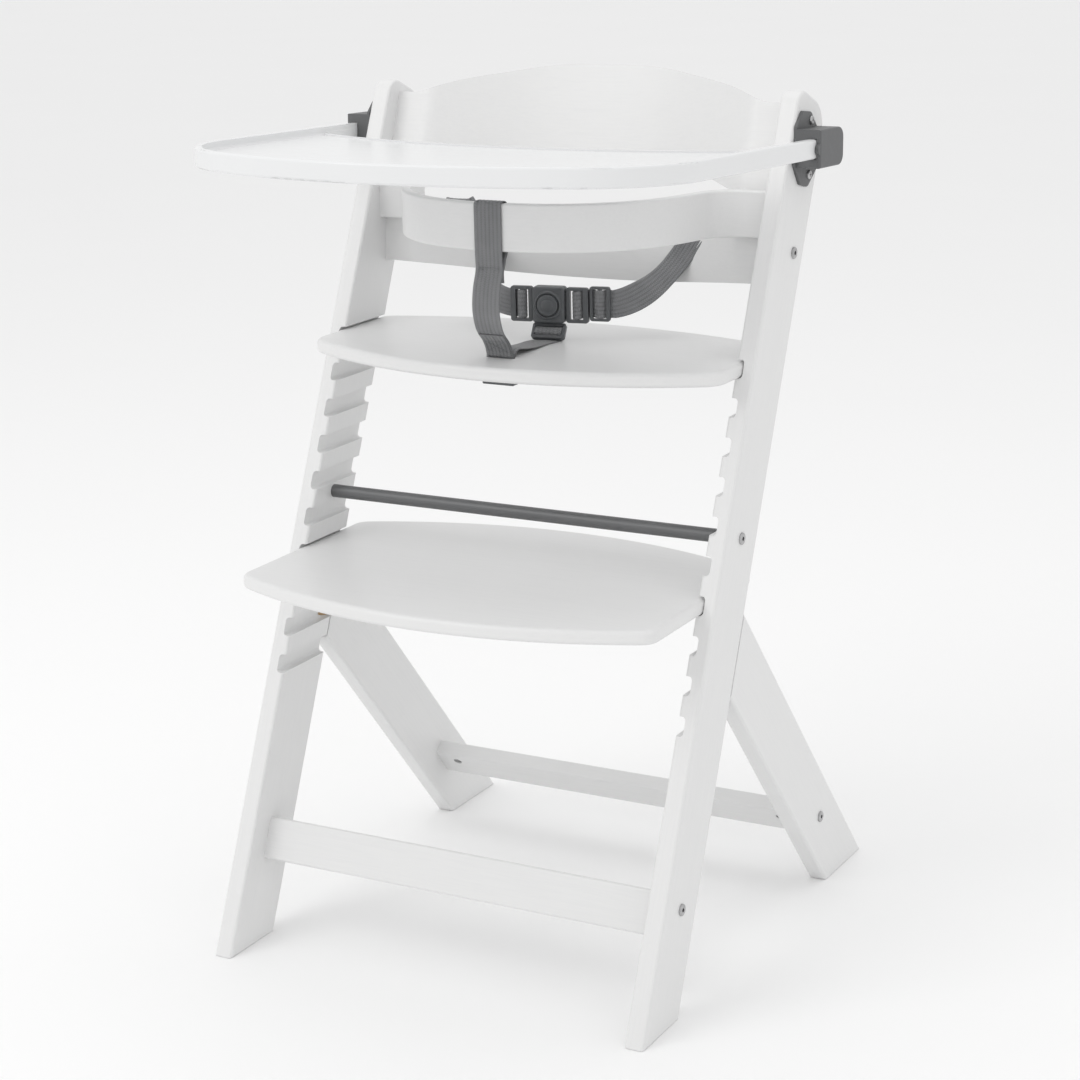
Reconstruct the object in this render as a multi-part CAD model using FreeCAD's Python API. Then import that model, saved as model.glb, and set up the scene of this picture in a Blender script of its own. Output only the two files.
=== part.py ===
import FreeCAD, Part

import math
import os

from FreeCAD import Placement, Rotation, Vector

os.makedirs("parts", exist_ok=True)

# Wooden grow-along high chair, millimetres. +X is the right-hand side seen from the front, +Y points
# to the back and +Z up. The origin is on the floor, under the middle of the chair, tray included.

# ---- side frames ----------------------------------------------------------------------------------
board = 20.0                  # thickness of the side-frame boards
outer_x = 248.0               # outer face of a side frame
inner_x = outer_x - board     # inner face of a side frame
overall_length = 610.0        # tray front to the heel of the rear legs
tray_reach = 50.0             # how far the tray stands in front of the front feet
front_y = tray_reach - overall_length / 2   # front edge of the front legs at the floor

leg_lean = 23.5               # front legs lean back by this many degrees
leg_width = 74.0
leg_length = 954.8            # along the front edge, from the floor to the unrounded top corner
leg_top_front_radius = 18.0
leg_top_back_radius = 30.0
edge_round = 3.0

rear_lean = 41.0              # rear legs lean forward by this many degrees
rear_width = 77.0
rear_heel_y = front_y + 560.0

groove_count = 10
groove_top_z = 610.0          # centre of the highest groove
groove_pitch = 36.2
groove_height = 18.0
groove_depth = 8.0
groove_round = 4.0
seat_groove = 0               # which groove holds the seat plate, counted from the top
foot_groove = 6               # which groove holds the footrest plate

# ---- rails ----------------------------------------------------------------------------------------
rail_thickness = 18.0
front_rail_width = 44.0
front_rail_along = 128.6      # middle of the front rail, along the front leg from the floor
rear_rail_width = 42.0
rear_rail_y = front_y + 445.5
rear_rail_z = 74.8
bolt_offset = 8.0             # rail bolts sit above the rail's middle, the dowels as far below it
rod_radius = 7.0
rod_y = front_y + 233.0
rod_z = 447.0

# ---- fasteners ------------------------------------------------------------------------------------
bolt_radius = 3.0
bolt_bore = 3.25
bolt_head_radius = 6.0
bolt_head_height = 2.0
bolt_reach = 31.0             # bolt length inside a rail, measured from the side frame's inner face
nut_radius = 5.0
nut_setback = 24.0            # barrel nut axis to the side frame's inner face
nut_skin_share = 1 / 6        # of a rail's thickness, left over the blind end of a barrel nut's hole
dowel_radius = 4.0
dowel_depth = 14.0

# ---- seat and footrest plates ---------------------------------------------------------------------
plate_thickness = 15.0
plate_half_width = 235.0
plate_edge_round = 5.0
seat_front_y = front_y + 149.0
seat_back_y = front_y + 403.0
foot_front_y = front_y + 7.0
foot_back_y = front_y + 346.0

# ---- bent panels ----------------------------------------------------------------------------------
panel_thickness = 10.0
panel_end = 6.0               # how deep the ends are housed in the side frames
panel_wing = 30.0             # flat part at each end
panel_bend_radius = 40.0
panel_bend_angle = 25.0
back_panel_lean = 20.0
back_panel_end_height = 91.5  # heights are measured up the leaning panel
back_panel_rise = 46.5        # its top edge rises this much to the middle
back_panel_bottom_rise = 40.0
low_rail_lean = 6.0
low_rail_height = 66.0
low_rail_dip = 9.0            # its bottom edge hangs this much lower in the middle
low_rail_thickness = 12.0

guard_height = 48.0
guard_bottom_z = 726.0
guard_y = front_y + 346.0     # front face of the guard's flat ends
guard_wing = 27.0
guard_bend_radius = 33.0
guard_turn = 73.0             # total turn of each end bend, degrees
guard_straight = 36.0
guard_shoulder_radius = 148.0
guard_front_angle = 12.0      # half angle of the flatter arc across the front

# ---- tray and its brackets, in a frame tilted up towards the front ---------------------------------
tray_tilt = 2.2
tray_pivot = Vector(0, front_y + 370.0, 805.6)
tray_height = 19.4
tray_rim = 8.0
tray_floor_top = 11.5
tray_floor = 3.0
tray_skirt = 3.0
tray_front = -420.0
tray_corner_x = 265.5
tray_corner_y = -337.0
tray_corner_radius = 130.0
tray_arm_x = 272.0            # outer face of the arms in the brackets
tray_arm_end = 42.0
tray_cut_centre = -142.0      # child's side of the tray: nearest and furthest points of its curve
tray_cut_side = -76.0

bracket_plate = 3.2
bracket_outer_x = 276.6
bracket_front = -8.0
bracket_rear = 53.5
bracket_bottom = -9.5
bracket_top = 28.8
tray_travel = 30.0            # how far the tray draws forward before the latch stops it
button_travel = 3.0
latch_slope = 0.8             # the pawl's travel for each millimetre of the button's
latch_clearance = 0.1
pawl_front = -3.4
pawl_rear = 9.0
pawl_outer_x = 263.4
pawl_nose_rear = 1.6          # stays ahead of the wedge when the button is pressed
button_proud = 1.8

# ---- harness --------------------------------------------------------------------------------------
webbing = 30.0
webbing_thickness = 1.6
slot_y = front_y + 200.0
strap_rail_x = 146.0          # where the waist straps go over the lower back rail
buckle_turn = 10.0
buckle_centre = Vector(2.0, front_y + 302.0, 653.0)
buckle_width = 35.0
buckle_height = 38.0
buckle_depth = 13.0
tongue_length = 24.0
tongue_thickness = 5.0

lean = math.radians(leg_lean)
rear = math.radians(rear_lean)
fit_gap = 0.3


def save(name, shape):
    shape.exportStep("parts/%s.step" % name)


def box(x0, x1, y0, y1, z0, z1):
    return Part.makeBox(x1 - x0, y1 - y0, z1 - z0, Vector(x0, y0, z0))


def rod_along_x(x0, x1, y, z, radius):
    return Part.makeCylinder(radius, x1 - x0, Vector(x0, y, z), Vector(1, 0, 0))


def mirrored(shape):
    return shape.mirror(Vector(0, 0, 0), Vector(1, 0, 0))


def flip(point):
    return Vector(-point.x, point.y, point.z)


def polygon(points):
    return Part.Face(Part.makePolygon([Vector(*p) for p in points + points[:1]]))


def prism_x(points, x0, x1):
    """Solid with the outline points (y, z), from x0 to x1."""
    return polygon([(x0, y, z) for y, z in points]).extrude(Vector(x1 - x0, 0, 0))


def corner_edges(solid, direction, places, reach=1.0):
    """Straight edges along direction that pass within reach of one of the given points."""
    chosen = []
    for edge in solid.Edges:
        if not isinstance(edge.Curve, Part.Line):
            continue
        if edge.Curve.Direction.cross(direction).Length > 1e-6:
            continue
        if any(edge.distToShape(Part.Vertex(p))[0] < reach for p in places):
            chosen.append(edge)
    return chosen


def outline_edges(solid, axis, value):
    """Edges that lie in the plane where coordinate number axis has the given value."""
    return [e for e in solid.Edges if all(abs(v.Point[axis] - value) < 1e-4 for v in e.Vertexes)
            and abs(e.CenterOfMass[axis] - value) < 1e-4]


# ---- side frames ----------------------------------------------------------------------------------
def on_front_leg(along, across):
    """(y, z) of a point on the front leg, from the front corner of its foot."""
    y = front_y + along * math.sin(lean) + across * math.cos(lean)
    z = along * math.cos(lean) - across * math.sin(lean)
    return y, z


def front_leg_back_y(z):
    return front_y + leg_width / math.cos(lean) + z * math.tan(lean)


def rear_leg_y(z, across):
    """y of the rear leg at height z: across 0 is its front edge, rear_width its back edge."""
    return rear_heel_y - z * math.tan(rear) - (rear_width - across) / math.cos(rear)


def rear_joint_z(across):
    """Height at which a line along the rear leg meets the back edge of the front leg."""
    return (rear_leg_y(0, across) - front_leg_back_y(0)) / (math.tan(lean) + math.tan(rear))


def groove_z(number):
    return groove_top_z - number * groove_pitch


def groove_cutter(number):
    z = groove_z(number)
    far_y = front_leg_back_y(z) + 20
    cutter = box(inner_x - 5, inner_x + groove_depth, front_y - 20, far_y,
                 z - groove_height / 2, z + groove_height / 2)
    corners = [Vector(inner_x + groove_depth, front_y, z + side * groove_height / 2) for side in (-1, 1)]
    return cutter.makeFillet(groove_round, corner_edges(cutter, Vector(0, 1, 0), corners))


def front_leg_blank():
    foot_back = leg_width * math.tan(lean)
    corners = [on_front_leg(0, 0), on_front_leg(leg_length, 0),
               on_front_leg(leg_length, leg_width), on_front_leg(foot_back, leg_width)]
    blank = prism_x(corners, inner_x, outer_x)
    along_x = Vector(1, 0, 0)
    for corner, radius in ((corners[1], leg_top_front_radius), (corners[2], leg_top_back_radius)):
        blank = blank.makeFillet(radius, corner_edges(blank, along_x, [Vector(outer_x, *corner)]))
    rims = outline_edges(blank, 0, inner_x) + outline_edges(blank, 0, outer_x)
    rims = [e for e in rims if max(v.Point.z for v in e.Vertexes) > 1]
    return blank.makeFillet(edge_round, rims)


def rear_leg_blank():
    low, high = rear_joint_z(0), rear_joint_z(rear_width)
    corners = [(rear_leg_y(0, 0), 0), (front_leg_back_y(low), low),
               (front_leg_back_y(high), high), (rear_leg_y(0, rear_width), 0)]
    blank = prism_x(corners, inner_x, outer_x)
    long_edges = [e for e in blank.Edges if e.Length > 300]
    return blank.makeFillet(edge_round, long_edges)


def bolt_points():
    """(y, z) of every bolt through a side frame, by name."""
    return {
        "front_rail": on_front_leg(front_rail_along + bolt_offset, leg_width / 2),
        "rear_rail": (rear_rail_y - bolt_offset * math.sin(rear), rear_rail_z + bolt_offset * math.cos(rear)),
        "rod": (rod_y, rod_z),
        "low_rail": low_rail_point(0, low_rail_height / 2, low_rail_thickness / 2),
    }


def dowel_points():
    return {
        "front_rail": on_front_leg(front_rail_along - bolt_offset, leg_width / 2),
        "rear_rail": (rear_rail_y + bolt_offset * math.sin(rear), rear_rail_z - bolt_offset * math.cos(rear)),
    }


def joint_dowel_axes():
    """Start point and direction of the dowels that join the rear leg to the front leg."""
    direction = Vector(0, -math.cos(lean), math.sin(lean))
    low, high = rear_joint_z(0), rear_joint_z(rear_width)
    axes = []
    for share in (0.3, 0.7):
        z = low + (high - low) * share
        axes.append((Vector((inner_x + outer_x) / 2, front_leg_back_y(z), z), direction))
    return axes


def joint_dowels():
    length = 2 * dowel_depth
    return [Part.makeCylinder(dowel_radius, length, start - direction * dowel_depth, direction)
            for start, direction in joint_dowel_axes()]


def bolt_bore_cutter(name):
    y, z = bolt_points()[name]
    return rod_along_x(inner_x - 1, outer_x + 1, y, z, bolt_bore)


def dowel_bore_cutter(name):
    y, z = dowel_points()[name]
    return rod_along_x(inner_x - dowel_depth, inner_x + dowel_depth, y, z, dowel_radius)


def front_leg():
    leg = front_leg_blank()
    cutters = [groove_cutter(n) for n in range(groove_count)]
    cutters += [bolt_bore_cutter(name) for name in ("front_rail", "rod", "low_rail")]
    cutters += [dowel_bore_cutter("front_rail"), back_panel(), guard()]
    cutters += joint_dowels() + [screw for screw in bracket_screws()]
    return leg.cut(Part.makeCompound(cutters)).Solids[0]


def rear_leg():
    cutters = [bolt_bore_cutter("rear_rail"), dowel_bore_cutter("rear_rail")] + joint_dowels()
    return rear_leg_blank().cut(Part.makeCompound(cutters)).Solids[0]


# ---- rails, rod and fasteners ---------------------------------------------------------------------
def rail(middle_y, middle_z, width, angle, name):
    """Straight rail between the side frames; its width follows the leg that leans by angle."""
    blank = box(-inner_x, inner_x, -rail_thickness / 2, rail_thickness / 2, -width / 2, width / 2)
    blank = blank.makeFillet(2.5, [e for e in blank.Edges if e.Length > 400])
    blank.Placement = Placement(Vector(0, middle_y, middle_z), Rotation(Vector(1, 0, 0), angle))
    bolt_y, bolt_z = bolt_points()[name]
    bore = rod_along_x(inner_x - bolt_reach - 3, inner_x + 1, bolt_y, bolt_z, bolt_bore)
    cutters = [bore, dowel_bore_cutter(name), barrel_nut_blank(name, rail_thickness, 2)]
    cutters += [mirrored(c) for c in cutters]
    return blank.cut(Part.makeCompound(cutters)).Solids[0]


def front_rail():
    y, z = on_front_leg(front_rail_along, leg_width / 2)
    return rail(y, z, front_rail_width, -leg_lean, "front_rail")


def rear_rail():
    return rail(rear_rail_y, rear_rail_z, rear_rail_width, rear_lean, "rear_rail")


def nut_axis(name):
    """Direction in which a barrel nut goes in, square to the faces of its rail, towards the blind end."""
    if name == "rear_rail":
        return Vector(0, math.cos(rear), math.sin(rear))
    if name == "front_rail":
        return Vector(0, -math.cos(lean), math.sin(lean))
    tilt = math.radians(low_rail_lean)
    return Vector(0, -math.cos(tilt), math.sin(tilt))


def barrel_nut_blank(name, thickness, outside=0):
    y, z = bolt_points()[name]
    axis = nut_axis(name)
    start = Vector(inner_x - nut_setback, y, z) - axis * (thickness / 2 + outside)
    return Part.makeCylinder(nut_radius, thickness * (1 - nut_skin_share) + outside, start, axis)


def barrel_nut(name, thickness):
    """Cross dowel with the bolt's cross hole and a screwdriver slot in its open end."""
    y, z = bolt_points()[name]
    axis = nut_axis(name)
    thread = rod_along_x(inner_x - nut_setback - 8, inner_x - nut_setback + 8, y, z, bolt_radius)
    nut = barrel_nut_blank(name, thickness).cut(thread)
    slot = box(-6, 6, -0.7, 0.7, -1, 1.2)
    slot.Placement = Placement(Vector(inner_x - nut_setback, y, z) - axis * (thickness / 2),
                               Rotation(Vector(0, 0, 1), axis))
    return nut.cut(slot).Solids[0]


def bolt(name, reach):
    """Low-head bolt with a hex socket, through the side frame from outside."""
    y, z = bolt_points()[name]
    head = rod_along_x(outer_x, outer_x + bolt_head_height, y, z, bolt_head_radius)
    rim = [e for e in head.Edges if abs(e.CenterOfMass.x - outer_x - bolt_head_height) < 1e-3]
    head = head.makeFillet(0.9, rim)
    shank = rod_along_x(inner_x - reach, outer_x, y, z, bolt_radius)
    hexagon = [(y + 2.3 * math.cos(math.radians(60 * k)), z + 2.3 * math.sin(math.radians(60 * k)))
               for k in range(6)]
    socket = prism_x(hexagon, outer_x - 1.5, outer_x + bolt_head_height + 1)
    return head.fuse(shank).removeSplitter().cut(socket).Solids[0]


def steel_rod():
    rod = rod_along_x(-inner_x, inner_x, rod_y, rod_z, rod_radius)
    threads = [rod_along_x(inner_x - 22, inner_x + 1, rod_y, rod_z, bolt_radius)]
    threads += [mirrored(t) for t in threads]
    return rod.cut(Part.makeCompound(threads)).Solids[0]


def rail_dowels():
    pins = []
    for name in ("front_rail", "rear_rail"):
        y, z = dowel_points()[name]
        pin = rod_along_x(inner_x - dowel_depth, inner_x + dowel_depth, y, z, dowel_radius)
        pins += [pin, mirrored(pin)]
    return pins


# ---- seat and footrest plates ---------------------------------------------------------------------
def plate(number, front, back, front_arc, back_arc, front_corner, back_corner):
    """Flat plate with bowed front and back edges and rounded corners, resting in its grooves."""
    bottom = groove_z(number) - groove_height / 2 + 0.1
    w = plate_half_width
    front_side = front + front_arc - math.sqrt(front_arc ** 2 - w ** 2)
    back_side = back - back_arc + math.sqrt(back_arc ** 2 - w ** 2)
    corners = [Vector(-w, front_side, 0), Vector(w, front_side, 0), Vector(w, back_side, 0),
               Vector(-w, back_side, 0)]
    edges = [
        Part.Arc(corners[0], Vector(0, front, 0), corners[1]).toShape(),
        Part.makeLine(corners[1], corners[2]),
        Part.Arc(corners[2], Vector(0, back, 0), corners[3]).toShape(),
        Part.makeLine(corners[3], corners[0]),
    ]
    blank = Part.Face(Part.Wire(edges)).extrude(Vector(0, 0, plate_thickness))
    up = Vector(0, 0, 1)
    blank = blank.makeFillet(front_corner, corner_edges(blank, up, corners[:2]))
    blank = blank.makeFillet(back_corner, corner_edges(blank, up, corners[2:]))
    rims = outline_edges(blank, 2, 0) + outline_edges(blank, 2, plate_thickness)
    blank = blank.makeFillet(plate_edge_round, rims)
    blank.translate(Vector(0, 0, bottom))
    return blank


def seat_top_z():
    return groove_z(seat_groove) - groove_height / 2 + 0.1 + plate_thickness


def seat_plate():
    seat = plate(seat_groove, seat_front_y, seat_back_y, 450.0, 650.0, 28.0, 16.0)
    half = webbing / 2 + 1.5
    slot = box(-half, half, slot_y - 3.5, slot_y + 3.5, seat_top_z() - 30, seat_top_z() + 5)
    slot = slot.makeFillet(3.0, corner_edges(slot, Vector(0, 0, 1), [
        Vector(sx * half, slot_y + sy * 3.5, seat_top_z()) for sx in (-1, 1) for sy in (-1, 1)]))
    return seat.cut(slot).Solids[0]


def footrest_plate():
    return plate(foot_groove, foot_front_y, foot_back_y, 530.0, 520.0, 20.0, 18.0)


# ---- bent panels ----------------------------------------------------------------------------------
def bent_path(bends):
    """Points of a plan curve from one end to the middle, as lines and arcs.

    bends is a list of (length or radius, turn in degrees); a turn of 0 is a straight run. The curve
    starts at the housed end on +X and heads towards -X.
    """
    x, y, heading = inner_x + panel_end, 0.0, 180.0
    runs = []
    for size, turn in bends:
        start = (x, y)
        if turn == 0:
            x += size * math.cos(math.radians(heading))
            y += size * math.sin(math.radians(heading))
            runs.append((start, None, (x, y)))
            continue
        side = 1 if turn > 0 else -1
        centre_angle = math.radians(heading + side * 90)
        cx, cy = x + size * math.cos(centre_angle), y + size * math.sin(centre_angle)
        stops = []
        for share in (0.5, 1.0):
            a = math.radians(heading + turn * share - side * 90)
            stops.append((cx + size * math.cos(a), cy + size * math.sin(a)))
        runs.append((start, stops[0], stops[1]))
        x, y = stops[1]
        heading += turn
    return runs, x, y


def bent_board(bends, thickness, z0, z1):
    """Bent board, symmetric about x = 0, from the plan curve bends of its front face."""
    def plan(offset):
        shifted = [(size + (offset if turn > 0 else -offset if turn < 0 else 0), turn)
                   for size, turn in bends]
        runs, x, y = bent_path(shifted)
        heading_end = math.radians(sum(t for s, t in bends))
        last_radius = x / math.sin(abs(heading_end))
        side = -1 if heading_end > 0 else 1
        crown = y + side * last_radius * (1 - math.cos(heading_end))
        half = []
        for start, middle, end in runs:
            p, q = Vector(start[0], start[1] + offset, 0), Vector(end[0], end[1] + offset, 0)
            if middle is None:
                half.append(Part.makeLine(p, q))
            else:
                half.append(Part.Arc(p, Vector(middle[0], middle[1] + offset, 0), q).toShape())
        join = Vector(x, y + offset, 0)
        crown_arc = Part.Arc(join, Vector(0, crown + offset, 0), Vector(-x, y + offset, 0)).toShape()
        return half + [crown_arc] + [mirrored(e) for e in reversed(half)]
    front = plan(0.0)
    back = plan(thickness)
    end_x = inner_x + panel_end
    caps = [Part.makeLine(Vector(sx * end_x, 0, 0), Vector(sx * end_x, thickness, 0)) for sx in (1, -1)]
    wire = Part.Wire(Part.__sortEdges__(front + back + caps))
    board_solid = Part.Face(wire).extrude(Vector(0, 0, z1 - z0))
    board_solid.translate(Vector(0, 0, z0))
    return board_solid


def crest(points, z_far, half_width):
    """Outline face in XZ whose curved side passes through (x, z) points mirrored about x = 0."""
    right = [Vector(x, 0, z) for x, z in points]
    left = [Vector(-p.x, 0, p.z) for p in reversed(right[:-1])]
    curve = Part.BSplineCurve()
    curve.interpolate(right + left)
    ends = [Vector(-half_width, 0, points[0][1]), Vector(-half_width, 0, z_far),
            Vector(half_width, 0, z_far), Vector(half_width, 0, points[0][1])]
    edges = [curve.toShape(), Part.makeLine(left[-1], ends[0]), Part.makeLine(ends[0], ends[1]),
             Part.makeLine(ends[1], ends[2]), Part.makeLine(ends[2], ends[3]),
             Part.makeLine(ends[3], right[0])]
    return Part.Face(Part.Wire(edges)).extrude(Vector(0, 400, 0)).translated(Vector(0, -150, 0))


panel_bends = [(panel_wing + panel_end, 0), (panel_bend_radius, -panel_bend_angle)]
guard_bends = [(guard_wing + panel_end, 0), (guard_bend_radius, guard_turn), (guard_straight, 0),
               (guard_shoulder_radius, guard_front_angle - guard_turn)]


def back_panel():
    """Upper back panel with a wavy top edge and an arched bottom edge."""
    top, rise = back_panel_end_height, back_panel_rise
    blank = bent_board(panel_bends, panel_thickness, -10, top + rise + 10)
    far = inner_x + 30
    crown = crest([(216, top), (200, top + 0.04 * rise), (172, top + 0.29 * rise),
                   (115, top + 0.68 * rise), (60, top + 0.94 * rise), (0, top + rise)], -20, far)
    low = back_panel_bottom_rise
    arch = crest([(200, 0), (176, 0.05 * low), (150, 0.33 * low), (120, 0.6 * low), (70, 0.88 * low),
                  (0, low)], top + rise + 20, far)
    panel = blank.common(crown).common(arch).Solids[0]
    panel.Placement = Placement(back_panel_corner(), Rotation(Vector(1, 0, 0), -back_panel_lean))
    return panel


def back_panel_corner():
    return Vector(0, front_y + 363.6, 771.0)


def low_rail_corner():
    return Vector(0, front_y + 353.0, 679.0)


def low_rail_point(x, up, depth):
    """(y, z) on the flat end of the lower back rail, up from its bottom edge and into its thickness."""
    tilt = math.radians(low_rail_lean)
    corner = low_rail_corner()
    y = corner.y + up * math.sin(tilt) + depth * math.cos(tilt)
    z = corner.z + up * math.cos(tilt) - depth * math.sin(tilt)
    return y, z


def low_back_rail():
    blank = bent_board(panel_bends, low_rail_thickness, -low_rail_dip - 10, low_rail_height)
    dip = low_rail_dip
    belly = crest([(212, 0), (190, -0.08 * dip), (150, -0.36 * dip), (100, -0.70 * dip),
                   (50, -0.93 * dip), (0, -dip)], low_rail_height + 20, inner_x + 30)
    panel = blank.common(belly).Solids[0]
    panel = panel.common(box(-inner_x, inner_x, -50, 200, -50, 200)).Solids[0]
    panel.Placement = Placement(low_rail_corner(), Rotation(Vector(1, 0, 0), -low_rail_lean))
    y, z = bolt_points()["low_rail"]
    cutters = [rod_along_x(inner_x - bolt_reach - 2, inner_x + 1, y, z, bolt_bore),
               barrel_nut_blank("low_rail", low_rail_thickness, 2), strap_screw(1)]
    cutters += [mirrored(c) for c in cutters]
    return panel.cut(Part.makeCompound(cutters)).Solids[0]


def guard():
    """Bowed guard in front of the child."""
    blank = bent_board(guard_bends, panel_thickness, 0, guard_height)
    rims = outline_edges(blank, 2, 0) + outline_edges(blank, 2, guard_height)
    long_rims = [e for e in rims if e.Length > 20]
    blank = blank.makeFillet(2.5, long_rims)
    blank.translate(Vector(0, guard_y, guard_bottom_z))
    return blank


# ---- tray -----------------------------------------------------------------------------------------
def tilted(shape):
    """Move a shape from the tray's own frame to the chair."""
    placed = shape.copy()
    turn = Placement(tray_pivot, Rotation(Vector(1, 0, 0), -tray_tilt))
    placed.Placement = turn.multiply(placed.Placement)
    return placed


def tray_slab(inset, rear_y, z0, z1):
    """The tray's outline, drawn in by inset and cut off straight at rear_y, as a slab."""
    corner = Vector(tray_corner_x - inset, tray_corner_y, 0)
    bend_y = min(0.0, rear_y)
    share = (bend_y - tray_corner_y) / -tray_corner_y
    bend = Vector(tray_corner_x + (tray_arm_x - tray_corner_x) * share - inset, bend_y, 0)
    end = Vector(bend.x, rear_y, 0)
    front = Vector(0, tray_front + inset, 0)
    edges = [Part.Arc(flip(corner), front, corner).toShape(), Part.makeLine(corner, bend)]
    if rear_y > 0:
        edges += [Part.makeLine(bend, end), Part.makeLine(end, flip(end)),
                  Part.makeLine(flip(end), flip(bend))]
    else:
        edges += [Part.makeLine(bend, flip(bend))]
    edges += [Part.makeLine(flip(bend), flip(corner))]
    slab = Part.Face(Part.Wire(edges)).extrude(Vector(0, 0, z1 - z0))
    corners = corner_edges(slab, Vector(0, 0, 1), [corner, flip(corner)])
    slab = slab.makeFillet(tray_corner_radius - inset, corners)
    slab.translate(Vector(0, 0, z0))
    return slab


def tray_cut(shift, z0, z1):
    """The open space on the child's side; shift moves its curved edge forward."""
    side_x = tray_arm_x - tray_rim
    start_x = side_x - 2.5
    a, b = Vector(start_x, tray_cut_side - shift, z0), Vector(side_x, 0, z0)
    c = Vector(side_x, tray_arm_end + 30, z0)
    edges = [Part.Arc(flip(a), Vector(0, tray_cut_centre - shift, z0), a).toShape(),
             Part.makeLine(a, b), Part.makeLine(b, c), Part.makeLine(c, flip(c)),
             Part.makeLine(flip(c), flip(b)), Part.makeLine(flip(b), flip(a))]
    cut = Part.Face(Part.Wire(edges)).extrude(Vector(0, 0, z1 - z0))
    return cut.makeFillet(14.0, corner_edges(cut, Vector(0, 0, 1), [a, flip(a)]))


def tray():
    body = tray_slab(0, tray_arm_end, 0, tray_height)
    rims = outline_edges(body, 2, tray_height) + outline_edges(body, 2, 0)
    body = body.makeFillet(2.5, [e for e in rims if e.Length > 60 and e.Length < 540])
    well = tray_slab(tray_rim, tray_arm_end + 5, tray_floor_top, tray_height + 5)
    well_floor = outline_edges(well, 2, tray_floor_top)
    well = well.makeFillet(3.0, [e for e in well_floor if e.Length > 60])
    lip = tray_cut(4.0, tray_floor_top - 1, tray_floor_top + 1.6)
    under = tray_slab(tray_skirt, tray_cut_side - 24, -5, tray_floor_top - tray_floor)
    under = under.cut(tray_cut(tray_skirt + 1, -10, 30))
    body = body.cut(well.cut(lip)).cut(under).cut(tray_cut(0, -10, 40))
    track = latch_track()
    return tilted(body.cut(track).cut(mirrored(track)).Solids[0])


def latch_track():
    """Groove in the inner face of a tray arm, as long as the tray's travel, for the pawl's nose."""
    arm_inner = tray_arm_x - tray_rim
    rear = pawl_nose_rear + 0.4 + tray_travel
    return box(arm_inner - 2, arm_inner + 3.2, pawl_front, rear, 4.4, 15.1)


# ---- tray brackets --------------------------------------------------------------------------------
bracket_screw_places = [(28.0, 35.5), (24.0, -18.5)]
screw_radius = 2.0
screw_head_radius = 4.6


def bracket_lobes():
    """The plate on the leg's outer face, with a tapered lobe above and below the housing."""
    outline = [(-8, 20), (-8, 31), (7, 46), (29, 44), (49, 24), (49, -8), (44, -15), (22, -31),
               (3, -27), (-13, -6)]
    lobes = prism_x(outline, outer_x, outer_x + bracket_plate)
    along_x = Vector(1, 0, 0)
    for index, radius in ((2, 6.0), (3, 8.0), (7, 8.0), (8, 6.0)):
        place = Vector(outer_x + bracket_plate / 2, *outline[index])
        lobes = lobes.makeFillet(radius, corner_edges(lobes, along_x, [place]))
    rims = [e for e in outline_edges(lobes, 0, outer_x + bracket_plate)]
    return lobes.makeFillet(0.8, rims)


def bracket():
    """Moulded bracket: plate and housing in one, open to the front for the tray arm."""
    housing = box(outer_x, bracket_outer_x, bracket_front, bracket_rear, bracket_bottom, bracket_top)
    rear_corners = [Vector(outer_x, bracket_rear, z) for z in (bracket_bottom, bracket_top)]
    housing = housing.makeFillet(11.0, corner_edges(housing, Vector(1, 0, 0), rear_corners))
    housing = housing.makeFillet(2.2, outline_edges(housing, 0, bracket_outer_x))
    body = bracket_lobes().fuse(housing)
    grip = Part.makeCylinder(6.0, 3.0, Vector(bracket_outer_x - 3.4, bracket_front + 1.5, 9.5),
                             Vector(1, 0, 0))
    body = body.fuse(grip)
    arm_gap = fit_gap + 0.1
    arm_room = box(tray_arm_x - tray_rim - arm_gap, tray_arm_x + arm_gap, bracket_front - 10,
                   tray_arm_end + 2.5, -arm_gap, tray_height + arm_gap)
    works = box(outer_x + bracket_plate, tray_arm_x - tray_rim, pawl_front - 1, 46, 1.5, 18)
    button_hole = box(252.6, 263.8, 40, 60, 2.7, 16.8)
    recess = box(outer_x + 2.4, bracket_outer_x + 1, bracket_rear - 1.6, 70, -0.5, 19.8)
    recess = recess.makeFillet(1.4, outline_edges(recess, 1, bracket_rear - 1.6)[:1] + outline_edges(
        recess, 1, bracket_rear - 1.6)[1:])
    body = body.cut(works).cut(arm_room).cut(button_hole).cut(recess)
    body = body.cut(Part.makeCompound(local_screws()))
    return tilted(body.Solids[0])


def local_screws():
    """Pan-head wood screws of one bracket, in the tray's frame."""
    screws = []
    for y, z in bracket_screw_places:
        face = outer_x + bracket_plate
        head = rod_along_x(face - 0.6, face + 2.2, y, z, screw_head_radius)
        rim = [e for e in head.Edges if abs(e.CenterOfMass.x - face - 2.2) < 1e-3]
        head = head.makeFillet(1.6, rim)
        shank = rod_along_x(inner_x + 8, face, y, z, screw_radius)
        cross = [box(face + 1.2, face + 4, y - a, y + a, z - b, z + b)
                 for a, b in ((2.2, 0.5), (0.5, 2.2))]
        screws.append(head.fuse(shank).removeSplitter().cut(Part.makeCompound(cross)).Solids[0])
    return screws


def bracket_screws():
    return [tilted(s) for s in local_screws()]


def latch_ramp(lift=0.0):
    """The two ends (x, y) of the sloped face where the button's wedge meets the pawl."""
    rise = pawl_rear - 5.0
    return (pawl_outer_x, 5.0 + lift), (pawl_outer_x - rise * latch_slope, pawl_rear + lift)


def prism_z(points, z0, z1):
    return polygon([(x, y, z0) for x, y in points]).extrude(Vector(0, 0, z1 - z0))


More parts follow.
